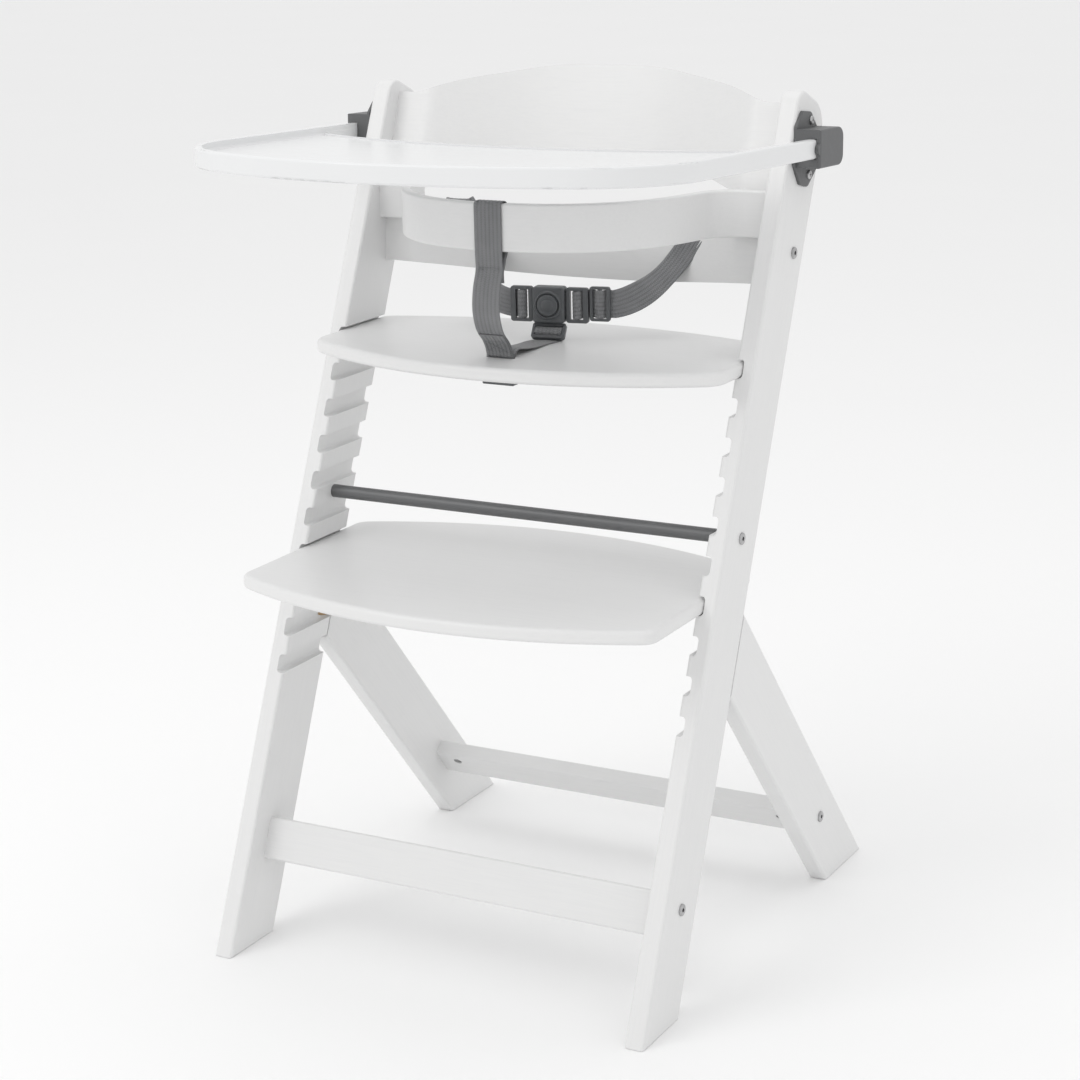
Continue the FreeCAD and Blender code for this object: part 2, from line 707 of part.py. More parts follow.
def release_button():
    """Red button in the rear of the housing, with a long wedge that reaches forward to the pawl."""
    back = bracket_rear + button_proud
    head = box(252.9, 263.4, 42.6, back, 3.1, 16.4)
    head = head.makeFillet(1.4, outline_edges(head, 1, back))
    flange = box(251.6, 263.4, 42.6, 44.2, 2.0, 17.5)
    tip, heel = latch_ramp(latch_clearance)
    wedge = prism_z([tip, heel, (heel[0], 43.0), (tip[0], 43.0)], 6.5, 13.0)
    button = head.fuse(flange).fuse(wedge).removeSplitter()
    return tilted(button.Solids[0])


def latch_pawl():
    """Sliding pawl whose nose runs in the tray arm's groove; the wedge draws it inwards."""
    back_x = 257.6
    body = prism_z([(back_x, pawl_front), (pawl_outer_x, pawl_front), *latch_ramp(), (back_x, pawl_rear)],
                   4.6, 14.9)
    nose = box(pawl_outer_x, 266.4, pawl_front + 0.8, pawl_nose_rear, 5.2, 14.3)
    lead_in = corner_edges(nose, Vector(0, 0, 1), [Vector(266.4, pawl_front + 0.8, 9)])
    nose = nose.makeChamfer(1.6, lead_in)
    pocket = rod_along_x(back_x - 1, 261.4, 1.2, 9.75, 2.9)
    return tilted(body.fuse(nose).removeSplitter().cut(pocket).Solids[0])


def latch_spring():
    """Small compression spring between the bracket plate and the pawl."""
    x0, length = outer_x + bracket_plate + 0.4, 6.8
    return tilted(coil(Vector(x0, 1.2, 9.75), Vector(1, 0, 0), 2.0, 0.35, length, 5))


def coil(start, direction, radius, wire_radius, length, turns):
    helix = Part.makeHelix(length / turns, length, radius)
    section = Part.Wire(Part.makeCircle(wire_radius, Vector(radius, 0, 0), Vector(0, 1, 0)))
    spring = Part.Wire(helix.Edges).makePipeShell([section], True, True)
    spring.Placement = Placement(start, Rotation(Vector(0, 0, 1), direction))
    return spring


# ---- harness --------------------------------------------------------------------------------------
def smooth_edge(points):
    curve = Part.BSplineCurve()
    curve.interpolate([Vector(0, y, z) for y, z in points])
    return curve.toShape()


def ribbon_x(points, thickness):
    """Webbing that runs in a plane of constant x: a band of even thickness along (y, z) points."""
    base = smooth_edge(points)
    curve = base.Curve
    first, last = base.FirstParameter, base.LastParameter
    count = 4 * len(points)
    far_side = []
    for k in range(count + 1):
        t = first + (last - first) * k / count
        along = curve.tangent(t)[0]
        here = curve.value(t)
        far_side.append((here.y - along.z * thickness, here.z + along.y * thickness))
    other = smooth_edge(far_side)
    caps = [Part.makeLine(base.valueAt(p), other.valueAt(q))
            for p, q in ((first, other.FirstParameter), (last, other.LastParameter))]
    wire = Part.Wire(Part.__sortEdges__([base, other] + caps))
    band = Part.Face(wire).extrude(Vector(webbing, 0, 0))
    band.translate(Vector(-webbing / 2, 0, 0))
    return band


def guard_strap():
    """Webbing sewn in a loop round the guard, and down through the slot in the seat."""
    gap = 0.8
    crown_y = guard_crown_y()
    y0, y1 = crown_y - gap, crown_y + panel_thickness + gap
    z0, z1 = guard_bottom_z - 12, guard_bottom_z + guard_height + gap
    t = webbing_thickness
    ring = box(-webbing / 2, webbing / 2, y0 - t, y1 + t, z0 - t, z1 + t)
    hollow = box(-webbing, webbing, y0, y1, z0, z1)
    ring = ring.makeFillet(5.0, corner_edges(ring, Vector(1, 0, 0), [
        Vector(0, y, z) for y in (y0 - t, y1 + t) for z in (z0 - t, z1 + t)], 20))
    hollow = hollow.makeFillet(3.4, corner_edges(hollow, Vector(1, 0, 0), [
        Vector(0, y, z) for y in (y0, y1) for z in (z0, z1)], 40))
    ring = ring.cut(hollow)
    top = seat_top_z()
    path = [(y0 + 6, z0 - 0.9), (y0 + 1, z0 - 12), (slot_y - 27, 668), (slot_y - 22, 645),
            (slot_y - 8, top + 16), (slot_y - 2, top + 4), (slot_y - 0.8, top - 8),
            (slot_y - 0.8, top - plate_thickness - 8)]
    tail = ribbon_x(path, -webbing_thickness)
    return ring.fuse(tail).removeSplitter().Solids[0]


def guard_crown_y():
    """y of the guard's front face in the middle of its bow."""
    runs, x, y = bent_path(guard_bends)
    last = math.radians(guard_front_angle)
    return guard_y + y - x / math.sin(last) * (1 - math.cos(last))


def strap_retainer():
    """Plastic bar that keeps the webbing from pulling up through the seat."""
    top = seat_top_z() - plate_thickness - 8.3
    bar = box(-webbing / 2 - 3, webbing / 2 + 3, slot_y - 8, slot_y + 8, top - 3.6, top)
    return bar.makeFillet(1.5, bar.Edges)


def buckle_frame(shape, tip=0.0, offset=Vector(0, 0, 0)):
    """Move a shape from the buckle's own frame: x across, y depth, z up, about its centre."""
    placed = shape.copy()
    turn = Rotation(Vector(0, 0, 1), buckle_turn).multiply(Rotation(Vector(1, 0, 0), tip))
    shift = Rotation(Vector(0, 0, 1), buckle_turn).multVec(offset)
    placed.Placement = Placement(buckle_centre + shift, turn).multiply(placed.Placement)
    return placed


def rounded_block(w, h, y0, y1, corner, rim):
    """Block centred on the y axis, with rounded corners and softened front rim."""
    block = box(-w / 2, w / 2, y0, y1, -h / 2, h / 2)
    corners = [Vector(sx * w / 2, y0, sz * h / 2) for sx in (-1, 1) for sz in (-1, 1)]
    block = block.makeFillet(corner, corner_edges(block, Vector(0, 1, 0), corners))
    return block.makeFillet(rim, outline_edges(block, 1, y0))


def buckle_body():
    shell = rounded_block(buckle_width, buckle_height, -buckle_depth / 2, buckle_depth / 2 - 2.2, 4.0, 2.5)
    room = box(-buckle_width / 2 + 2, buckle_width / 2 - 2, -buckle_depth / 2 + 2.4, buckle_depth,
               -buckle_height / 2 + 2, buckle_height / 2 - 2)
    hole = Part.makeCylinder(11.6, 20, Vector(0, -buckle_depth, 0), Vector(0, 1, 0))
    mouths = [box(-40, 40, -2.9, 2.9, -15.2, 15.2), box(-12.2, 12.2, -2.9, 2.9, -40, 0)]
    return buckle_frame(shell.cut(room).cut(hole).cut(mouths[0]).cut(mouths[1]).Solids[0])


def buckle_back():
    cover = rounded_block(buckle_width, buckle_height, 0, 2.0, 4.0, 0.4)
    cover = cover.mirror(Vector(0, 1, 0), Vector(0, 1, 0))
    cover.translate(Vector(0, buckle_depth / 2 - 2.1, 0))
    post = Part.makeCylinder(1.6, 3.0, Vector(0, buckle_depth / 2 - 5.0, 0), Vector(0, 1, 0))
    return buckle_frame(cover.fuse(post).removeSplitter().Solids[0])


def buckle_button():
    """Round press button with a raised ring and a dished middle."""
    front = -buckle_depth / 2 - 3.2
    stem = Part.makeCylinder(11.3, 6.0, Vector(0, front, 0), Vector(0, 1, 0))
    stem = stem.makeFillet(1.6, [e for e in stem.Edges if abs(e.CenterOfMass.y - front) < 1e-3])
    flange = Part.makeCylinder(13.2, 1.0, Vector(0, front + 5.9, 0), Vector(0, 1, 0))
    dish = Part.makeSphere(16.0, Vector(0, front - 14.6, 0))
    return buckle_frame(stem.cut(dish).fuse(flange).removeSplitter().Solids[0])


def buckle_spring():
    start = buckle_frame(Part.Vertex(Vector(0, 0, 0))).Point
    across = Rotation(Vector(0, 0, 1), buckle_turn).multVec(Vector(0, 1, 0))
    return coil(start + across * 0.4, across, 3.4, 0.45, 3.4, 3)


def window_frame(w, h, t, windows, corner=3.0):
    """Flat plastic frame centred on the y axis, with the given (x0, x1, z0, z1) windows."""
    frame = rounded_block(w, h, -t / 2, t / 2, corner, 0.8)
    for x0, x1, z0, z1 in windows:
        frame = frame.cut(box(x0, x1, -t, t, z0, z1))
    return frame


def waist_tongue(side):
    """Side tongue: a frame for the webbing and a flat prong that enters the buckle."""
    w = tongue_length
    frame = window_frame(w, buckle_height - 1, tongue_thickness,
                         [(-7.5, -2.5, -15.2, 15.2), (1.5, 6.5, -15.2, 15.2)])
    prong = box(-w / 2 - 9, -w / 2 + 1, -1.6, 1.6, -12, 12)
    prong = prong.cut(box(-w / 2 - 6, -w / 2 - 2, -3, 3, -4, 4))
    tongue = frame.fuse(prong).removeSplitter()
    if side < 0:
        tongue = mirrored(tongue)
    return buckle_frame(tongue.Solids[0], 0.0, Vector(side * (buckle_width / 2 + w / 2 + 0.6), 0, 0))


def crotch_tongue():
    """Lower tongue: a prong up into the buckle and an adjuster frame tipped back over the seat."""
    frame = window_frame(36.0, 18.0, tongue_thickness, [(-15, 15, -5.6, -1.4), (-15, 15, 1.4, 5.2)])
    frame = buckle_frame(frame.Solids[0], -38.0, Vector(0, -4.6, -buckle_height / 2 - 8.4))
    prong = box(-8.5, 8.5, -1.6, 1.6, -buckle_height / 2 - 5.0, -buckle_height / 2 + 6.5)
    prong = prong.cut(box(-3.5, 3.5, -3, 3, -buckle_height / 2 + 1, -buckle_height / 2 + 4))
    tongue = frame.fuse(buckle_frame(prong)).removeSplitter()
    shell_space = box(-20, 20, -buckle_depth, buckle_depth, -buckle_height / 2 - 0.4, buckle_height / 2)
    clear = shell_space.cut(box(-8.5, 8.5, -1.6, 1.6, -40, 20))
    return tongue.cut(buckle_frame(clear)).Solids[0]


def ladder_lock():
    """Loose webbing adjuster on the +X waist strap."""
    frame = window_frame(22.0, 36.0, 4.0, [(-7.5, -2.0, -15.2, 15.2), (2.0, 7.0, -15.2, 15.2)])
    place = Vector(buckle_width / 2 + tongue_length + 12.6, 1.0, 2.0)
    return buckle_frame(frame.Solids[0], 0.0, place)


def on_low_rail(x, off, up):
    """Point at a distance off in front of the lower back rail's face, its normal and tangent there."""
    radius = back_arc_radius()
    lean_out = math.asin(x / radius)
    depth = panel_depth() - radius * (1 - math.cos(lean_out))
    normal = Vector(-math.sin(lean_out), -math.cos(lean_out), 0)
    tangent = Vector(math.cos(lean_out), -math.sin(lean_out), 0)
    lay = Placement(low_rail_corner(), Rotation(Vector(1, 0, 0), -low_rail_lean))
    point = lay.multVec(Vector(x, depth, up) + normal * off)
    return point, lay.Rotation.multVec(normal), lay.Rotation.multVec(tangent)


def back_arc_radius():
    """Radius of the long arc in the middle of the two bent panels."""
    runs, x, y = bent_path(panel_bends)
    return x / math.sin(math.radians(panel_bend_angle))


def panel_depth():
    """How far the middle of a bent panel lies behind its flat ends."""
    runs, x, y = bent_path(panel_bends)
    return y + back_arc_radius() * (1 - math.cos(math.radians(panel_bend_angle)))


def ribbon(stations):
    """Webbing through stations of (middle, direction of the cross line, direction out of its face).

    A cross line need not be square to the run; it is then longer, so that the band keeps its width.
    """
    rings = []
    count = len(stations)
    for k, (middle, across, face) in enumerate(stations):
        run = stations[min(k + 1, count - 1)][0] - stations[max(k - 1, 0)][0]
        run.normalize()
        stretch = min(1.4, 1 / across.cross(run).Length)
        corners = [middle + across * (a * stretch * webbing / 2) + face * (b * webbing_thickness / 2)
                   for a, b in ((1, 1), (1, -1), (-1, -1), (-1, 1))]
        rings.append(corners)
    outlines = [rings[0], rings[-1]]
    for here, there in zip(rings, rings[1:]):
        for k in range(4):
            after = (k + 1) % 4
            outlines.append([here[k], here[after], there[after]])
            outlines.append([here[k], there[after], there[k]])
    faces = [Part.Face(Part.makePolygon(o + o[:1])) for o in outlines]
    return Part.Solid(Part.makeShell(faces))


def strap_on_rail(side):
    """Stations where a waist strap climbs the rail's face aslant, crosses its top and hangs behind."""
    half = 1.0 + webbing_thickness / 2    # the rail's face is hollow, so the band's edges come nearer
    top, thick, x = low_rail_height, low_rail_thickness, strap_rail_x
    behind = -thick - half - 0.5
    wrap = [(half, x - 27, top - 38, (1, 0)), (half, x - 13, top - 19, (1, 0)), (half, x, top - 1, (1, 0)),
            (half * 0.8, x + 0.4, top + half * 0.8, (0.9, 0.9)), (-2, x + 1, top + half, (0, 1)),
            (2 - thick, x + 4, top + half, (0, 1)),
            (behind + half * 0.2, x + 4.6, top + half * 0.8, (-0.9, 0.9)), (behind, x + 5, top - 1, (-1, 0)),
            (behind, x + 9, top - 42, (-1, 0))]
    laid = []
    for off, across_x, up, (out, rise) in wrap:
        middle, normal, tangent = on_low_rail(side * across_x, off, up)
        upward = normal.cross(tangent)
        upward = upward * (1 if upward.z > 0 else -1)
        laid.append((middle, tangent * side, normal * out + upward * rise))
    return laid


def waist_strap(side):
    """Webbing from its tongue back and up to the lower rail, over its top edge and down behind."""
    laid = strap_on_rail(side)
    end, rail_face = laid[0][0], laid[0][2]
    climb = laid[1][0] - laid[0][0]
    climb.normalize()

    turn = Rotation(Vector(0, 0, 1), buckle_turn)
    offset = buckle_width / 2 + tongue_length + (3.2 if side < 0 else 26.6)
    start = buckle_centre + turn.multVec(Vector(side * offset, 0, 1.5))
    out = turn.multVec(Vector(side, 0, 0)) + Vector(0, 0, 0.2)
    out.normalize()
    tongue_face = turn.multVec(Vector(0, -1, 0))
    reach = (end - start).Length
    first_line, last_line = Vector(0, 0, 1), laid[0][1] * -side
    free = []
    for k in range(9):
        t = k / 9
        middle = (start * ((1 - t) ** 2 * (1 + 2 * t)) + out * (t * (1 - t) ** 2 * reach)
                  + end * (t ** 2 * (3 - 2 * t)) + climb * (t ** 2 * (t - 1) * reach))
        slope = ((end - start) * (6 * t * (1 - t)) + out * ((1 - t) * (1 - 3 * t) * reach)
                 + climb * (t * (3 * t - 2) * reach))
        face = tongue_face * (1 - t) + rail_face * t
        square = face.cross(slope) * side
        square.normalize()
        line = (first_line * (1 - t) ** 3 + square * (1 - (1 - t) ** 3 - t ** 3)
                + last_line * t ** 3)
        line.normalize()
        free.append((middle, line * -1, face))
    band = ribbon(free + laid)
    if band.Volume < 0:
        band.reverse()
    return band.cut(strap_screw(side)).Solids[0]


def strap_screw(side):
    """Screw that holds the end of a waist strap to the back of the lower rail, and its washer."""
    behind = -low_rail_thickness - 0.4 - webbing_thickness
    place = side * (strap_rail_x + 8)
    face, normal, tangent = on_low_rail(place, behind - 0.6, low_rail_height - 31)
    washer = Part.makeCylinder(7.0, 1.0, face, normal * -1)
    head = Part.makeCylinder(4.2, 2.6, face, normal * -1)
    rim_at = face - normal * 2.6
    rim = [e for e in head.Edges if (e.CenterOfMass - rim_at).Length < 1e-3]
    head = head.makeFillet(1.4, rim)
    shank = Part.makeCylinder(2.0, 11.0, face, normal)
    return washer.fuse(head).fuse(shank).removeSplitter().Solids[0]


def crotch_strap():
    """Webbing from the seat slot back over the seat to the crotch adjuster."""
    top = seat_top_z()
    path = [(slot_y + 2.6, top - 6), (slot_y + 4.0, top + 1.5), (slot_y + 12, top + 6.0),
            (slot_y + 34, top + 3.4), (slot_y + 58, top + 1.6), (slot_y + 76, top + 1.5)]
    return ribbon_x(path, webbing_thickness)


# ---- all pieces -----------------------------------------------------------------------------------
def main():
    save("front_leg_right", front_leg())
    save("front_leg_left", mirrored(front_leg()))
    save("rear_leg_right", rear_leg())
    save("rear_leg_left", mirrored(rear_leg()))
    save("leg_joint_dowels", Part.makeCompound(joint_dowels() + [mirrored(d) for d in joint_dowels()]))
    save("front_crossbar", front_rail())
    save("rear_crossbar", rear_rail())
    save("rail_dowels", Part.makeCompound(rail_dowels()))
    save("steel_rod", steel_rod())

    rail_bolts = [bolt("front_rail", bolt_reach), bolt("rear_rail", bolt_reach)]
    save("crossbar_bolts", Part.makeCompound(rail_bolts + [mirrored(b) for b in rail_bolts]))
    back_bolt = bolt("low_rail", bolt_reach)
    save("back_rail_bolts", Part.makeCompound([back_bolt, mirrored(back_bolt)]))
    rod_bolt = bolt("rod", 20.0)
    save("rod_bolts", Part.makeCompound([rod_bolt, mirrored(rod_bolt)]))
    nuts = [barrel_nut("front_rail", rail_thickness), barrel_nut("rear_rail", rail_thickness)]
    save("crossbar_barrel_nuts", Part.makeCompound(nuts + [mirrored(n) for n in nuts]))
    back_nut = barrel_nut("low_rail", low_rail_thickness)
    save("back_rail_barrel_nuts", Part.makeCompound([back_nut, mirrored(back_nut)]))

    save("seat_plate", seat_plate())
    save("footrest_plate", footrest_plate())
    save("upper_back_panel", back_panel())
    save("lower_back_rail", low_back_rail())
    save("front_guard", guard())

    save("tray", tray())
    for side, hand in (("right", lambda s: s), ("left", mirrored)):
        save("tray_bracket_" + side, hand(bracket()))
        save("release_button_" + side, hand(release_button()))
        save("latch_pawl_" + side, hand(latch_pawl()))
        save("latch_spring_" + side, hand(latch_spring()))
    screws = bracket_screws()
    save("bracket_screws", Part.makeCompound(screws + [mirrored(s) for s in screws]))

    save("guard_strap", guard_strap())
    save("seat_strap_retainer", strap_retainer())
    save("crotch_strap", crotch_strap())
    save("waist_strap_right", waist_strap(1))
    save("waist_strap_left", waist_strap(-1))
    save("buckle_front_shell", buckle_body())
    save("buckle_back_shell", buckle_back())
    save("buckle_button", buckle_button())
    save("buckle_spring", buckle_spring())
    save("waist_tongue_right", waist_tongue(1))
    save("waist_tongue_left", waist_tongue(-1))
    save("crotch_tongue", crotch_tongue())
    save("strap_screws", Part.makeCompound([strap_screw(1), strap_screw(-1)]))
    save("ladder_lock", ladder_lock())


main()
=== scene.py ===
import math

import bmesh
import bpy
from mathutils import Matrix, Vector


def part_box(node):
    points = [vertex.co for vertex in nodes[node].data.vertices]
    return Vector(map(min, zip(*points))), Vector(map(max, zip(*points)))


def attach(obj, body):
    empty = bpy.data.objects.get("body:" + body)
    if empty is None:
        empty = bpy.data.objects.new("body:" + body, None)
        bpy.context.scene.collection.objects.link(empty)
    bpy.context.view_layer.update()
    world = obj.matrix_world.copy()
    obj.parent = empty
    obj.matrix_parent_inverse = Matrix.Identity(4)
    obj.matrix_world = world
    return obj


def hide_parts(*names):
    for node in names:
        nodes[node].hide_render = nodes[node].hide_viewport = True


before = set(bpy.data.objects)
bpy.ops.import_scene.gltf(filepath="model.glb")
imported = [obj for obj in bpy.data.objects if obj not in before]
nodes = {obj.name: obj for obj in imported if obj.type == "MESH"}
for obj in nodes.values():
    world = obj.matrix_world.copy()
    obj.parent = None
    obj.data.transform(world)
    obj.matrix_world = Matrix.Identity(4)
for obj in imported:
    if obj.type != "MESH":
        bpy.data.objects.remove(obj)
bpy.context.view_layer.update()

mm = 0.001
print("frame loaded:", len(nodes), "nodes")


# ---- camera, light and floor ----
cameraFacts = {
    "place": (1.2366, -2.2417, 1.1216),
    "azimuth": 29.274,      # degrees round the chair
    "elevation": 14.146,
    "roll": -1.436,
    "lens": 85.03,
    "shift": (0.0247, -0.0551),
}
roomFacts = {
    "floorColour": (0.96, 0.96, 0.96, 1.0),
    "skyColour": (1.0, 1.0, 1.0, 1.0),
    "skyStrength": 0.88,
    "floorSize": 60.0,
}
lampFacts = [   # name, place, size, power, colour
    ("keyLamp", (-1.6, -2.6, 2.9), 2.2, 26.0, (1.0, 0.995, 0.985)),
    ("sideLamp", (2.9, -0.6, 1.9), 1.8, 2.0, (0.985, 0.99, 1.0)),
    ("topLamp", (0.0, 0.3, 3.2), 2.4, 8.0, (1.0, 1.0, 1.0)),
]


def makeCamera(facts):
    azimuth, elevation = math.radians(facts["azimuth"]), math.radians(facts["elevation"])
    roll = math.radians(facts["roll"])
    ahead = Vector((-math.sin(azimuth) * math.cos(elevation), math.cos(azimuth) * math.cos(elevation),
                    -math.sin(elevation)))
    level = Vector((math.cos(azimuth), math.sin(azimuth), 0.0))
    upright = level.cross(ahead)
    right = level * math.cos(roll) + upright * math.sin(roll)
    up = upright * math.cos(roll) - level * math.sin(roll)
    data = bpy.data.cameras.new("chairCamera")
    data.lens = facts["lens"]
    data.sensor_width = 36.0
    data.shift_x, data.shift_y = facts["shift"]
    data.clip_end = 200.0
    camera = bpy.data.objects.new("chairCamera", data)
    bpy.context.scene.collection.objects.link(camera)
    camera.matrix_world = Matrix((right, up, -ahead)).transposed().to_4x4()
    camera.location = facts["place"]
    bpy.context.scene.camera = camera


def makeLamps(facts):
    aim = Vector((0, 0, 0.45))      # the middle of the chair
    for name, place, size, power, colour in facts:
        data = bpy.data.lights.new(name, "AREA")
        data.size = size
        data.energy = power
        data.color = colour
        lamp = bpy.data.objects.new(name, data)
        bpy.context.scene.collection.objects.link(lamp)
        lamp.location = place
        lamp.rotation_euler = (aim - Vector(place)).to_track_quat("-Z", "Y").to_euler()


def makeRoom(facts):
    world = bpy.data.worlds.new("paleRoom")
    world.use_nodes = True
    sky = world.node_tree.nodes["Background"]
    sky.inputs["Color"].default_value = facts["skyColour"]
    sky.inputs["Strength"].default_value = facts["skyStrength"]
    bpy.context.scene.world = world
    bpy.context.scene.view_settings.view_transform = "Standard"

    size = facts["floorSize"]
    mesh = bpy.data.meshes.new("floor")
    mesh.from_pydata([(-size, -size, 0), (size, -size, 0), (size, size, 0), (-size, size, 0)], [],
                     [(0, 1, 2, 3)])
    floor = bpy.data.objects.new("floor", mesh)
    bpy.context.scene.collection.objects.link(floor)
    floor.location.z = -0.0005
    return floor


# ---- shader maths ----
class Reading:
    # a socket that carries one number over the surface
    def __init__(self, look, socket):
        self.look = look
        self.socket = socket

    def sum(self, operation, *others):
        return self.look.add("Math", {"operation": operation}, dict(enumerate((self, *others))))

    def __add__(self, other):
        return self.sum("ADD", other)

    def __radd__(self, other):
        return self.look.add("Math", {"operation": "ADD"}, {0: other, 1: self})

    def __sub__(self, other):
        return self.sum("SUBTRACT", other)

    def __rsub__(self, other):
        return self.look.add("Math", {"operation": "SUBTRACT"}, {0: other, 1: self})

    def __mul__(self, other):
        return self.sum("MULTIPLY", other)

    def __rmul__(self, other):
        return self.look.add("Math", {"operation": "MULTIPLY"}, {0: other, 1: self})

    def __pow__(self, other):
        return self.sum("POWER", other)

    def wave(self):
        return self.sum("SINE")

    def size(self):
        return self.sum("ABSOLUTE")

    def clamp(self):
        return self.look.add("Clamp", {}, {"Value": self}, "Result")


class Look:
    # one material: its Principled shader and a short way to add nodes
    def __init__(self, name, **constants):
        self.material = bpy.data.materials.new(name)
        self.material.use_nodes = True
        self.tree = self.material.node_tree
        self.shader = self.tree.nodes["Principled BSDF"]
        for socket, value in constants.items():
            self.shader.inputs[socket.replace("_", " ")].default_value = value

    def add(self, kind, settings, values, output=0):
        node = self.tree.nodes.new("ShaderNode" + kind)
        for setting, value in settings.items():
            if setting == "stops":
                self.setStops(node.color_ramp, value)
            else:
                setattr(node, setting, value)
        for key, value in values.items():
            self.feed(node.inputs[key], value)
        return Reading(self, node.outputs[output])

    def setStops(self, ramp, stops):
        while len(ramp.elements) < len(stops):
            ramp.elements.new(0.5)
        for element, (place, colour) in zip(ramp.elements, stops):
            element.position = place
            element.color = colour

    def feed(self, socket, value):
        if isinstance(value, Reading):
            self.tree.links.new(value.socket, socket)
        else:
            socket.default_value = value

    def set(self, socket, value):
        self.feed(self.shader.inputs[socket], value)

    def place(self, scale=(1, 1, 1), turn=(0, 0, 0), kind="Object"):
        # object coordinates, turned so that the material's own x runs along the piece
        here = self.add("TexCoord", {}, {}, kind)
        return self.add("Mapping", {"vector_type": "TEXTURE"},
                        {"Vector": here, "Rotation": turn, "Scale": tuple(1 / s for s in scale)})

    def noise(self, vector, scale, detail=3.0, rough=0.5, distort=0.0):
        return self.add("TexNoise", {}, {"Vector": vector, "Scale": scale, "Detail": detail,
                                         "Roughness": rough, "Distortion": distort}, "Fac")

    def blend(self, share, first, second):
        # colour mix: sockets 0, 6 and 7 are the factor and the two colours
        return self.add("Mix", {"data_type": "RGBA"}, {0: share, 6: first, 7: second}, 2)

    def bump(self, height, strength, distance=0.001, under=None):
        values = {"Height": height, "Strength": strength, "Distance": distance}
        if under is not None:
            values["Normal"] = under
        return self.add("Bump", {}, values, "Normal")

    def uv(self):
        here = self.add("TexCoord", {}, {}, "UV")
        parts = self.tree.nodes.new("ShaderNodeSeparateXYZ")
        self.feed(parts.inputs[0], here)
        return Reading(self, parts.outputs[0]), Reading(self, parts.outputs[1])


# ---- materials ----
woodFacts = {
    "paint": (0.775, 0.775, 0.773, 1),
    "shade": (0.725, 0.727, 0.73, 1),      # where the paint lies a little thinner
    "grainDepth": 0.00012,
    "rollerDepth": 0.00005,
    "roughness": 0.36,
}


def paintedWood(name, turn):
    # satin white paint over straight-grained board; turn lays the grain along the board
    facts = woodFacts
    look = Look(name, Coat_Weight=0.12, Coat_Roughness=0.25)
    along = look.place(scale=(3.0, 70.0, 70.0), turn=turn)
    grain = look.noise(along, 6.0, 5.0, 0.62, 0.35)
    pores = look.noise(look.place(scale=(14.0, 420.0, 420.0), turn=turn), 4.0, 2.0, 0.5)
    roller = look.noise(look.place(), 900.0, 2.0, 0.5)
    cloud = look.noise(look.place(), 7.0, 3.0, 0.5)
    thin = ((grain - 0.45) * 1.3 + (cloud - 0.5) * 0.5).clamp()
    look.set("Base Color", look.blend(thin, facts["paint"], facts["shade"]))
    look.set("Roughness", facts["roughness"] + (cloud - 0.5) * 0.10 + (grain - 0.5) * 0.08)
    height = grain * 0.55 + pores * 0.45
    first = look.bump(height, 0.28, facts["grainDepth"])
    look.set("Normal", look.bump(roller, 0.30, facts["rollerDepth"], first))
    return look.material


trayFacts = {"colour": (0.815, 0.82, 0.825, 1), "scuffed": (0.78, 0.785, 0.79, 1), "roughness": 0.24}


def trayPlastic():
    look = Look("trayPlastic", IOR=1.48)
    cloud = look.noise(look.place(), 9.0, 4.0, 0.55)
    scuff = look.noise(look.place(scale=(1, 9, 9), turn=(0, 0, 0.6)), 60.0, 6.0, 0.7)
    grain = look.noise(look.place(), 1600.0, 2.0, 0.5)
    look.set("Base Color", look.blend(cloud, trayFacts["colour"], trayFacts["scuffed"]))
    look.set("Roughness", trayFacts["roughness"] + (scuff - 0.5) * 0.12 + (cloud - 0.5) * 0.05)
    look.set("Normal", look.bump(grain, 0.12, 0.00003))
    return look.material


def mouldedPlastic(name, colour, worn, roughness, grainScale=1500.0, grainDepth=0.00008):
    # spark-eroded grain, slightly cloudy colour and faint rub marks
    look = Look(name, IOR=1.5)
    cloud = look.noise(look.place(), 45.0, 3.0, 0.5)
    grain = look.add("TexVoronoi", {"feature": "SMOOTH_F1"},
                     {"Vector": look.place(), "Scale": grainScale, "Smoothness": 0.6}, "Distance")
    rub = look.noise(look.place(scale=(1, 4, 1)), 160.0, 5.0, 0.7)
    rubbed = ((rub - 0.56) * 5.0).clamp()
    look.set("Base Color", look.blend(rubbed * 0.55 + cloud * 0.25, colour, worn))
    look.set("Roughness", roughness + (cloud - 0.5) * 0.14 - rubbed * 0.08)
    look.set("Normal", look.bump(grain, 0.35, grainDepth))
    return look.material


def rodPaint():
    # grey powder coat with a fine orange-peel skin
    look = Look("rodPaint", Coat_Weight=0.15, Coat_Roughness=0.3, Metallic=0.35)
    peel = look.noise(look.place(), 700.0, 2.0, 0.45)
    cloud = look.noise(look.place(scale=(2, 12, 12)), 10.0, 4.0, 0.6)
    look.set("Base Color", look.blend(cloud, (0.115, 0.117, 0.12, 1), (0.16, 0.162, 0.165, 1)))
    look.set("Roughness", 0.42 + (cloud - 0.5) * 0.15)
    look.set("Normal", look.bump(peel, 0.35, 0.00008))
    return look.material


def zincSteel(name, colour=(0.50, 0.50, 0.505, 1), roughness=0.34):
    look = Look(name, Metallic=1.0)
    turned = look.noise(look.place(scale=(60, 4, 4)), 90.0, 4.0, 0.6)
    cloud = look.noise(look.place(), 120.0, 3.0, 0.6)
    dull = tuple(c * 0.66 for c in colour[:3]) + (1,)
    look.set("Base Color", look.blend(((cloud - 0.4) * 2.2).clamp(), colour, dull))
    look.set("Roughness", roughness + (cloud - 0.5) * 0.3)
    look.set("Normal", look.bump(turned, 0.25, 0.00006))
    return look.material


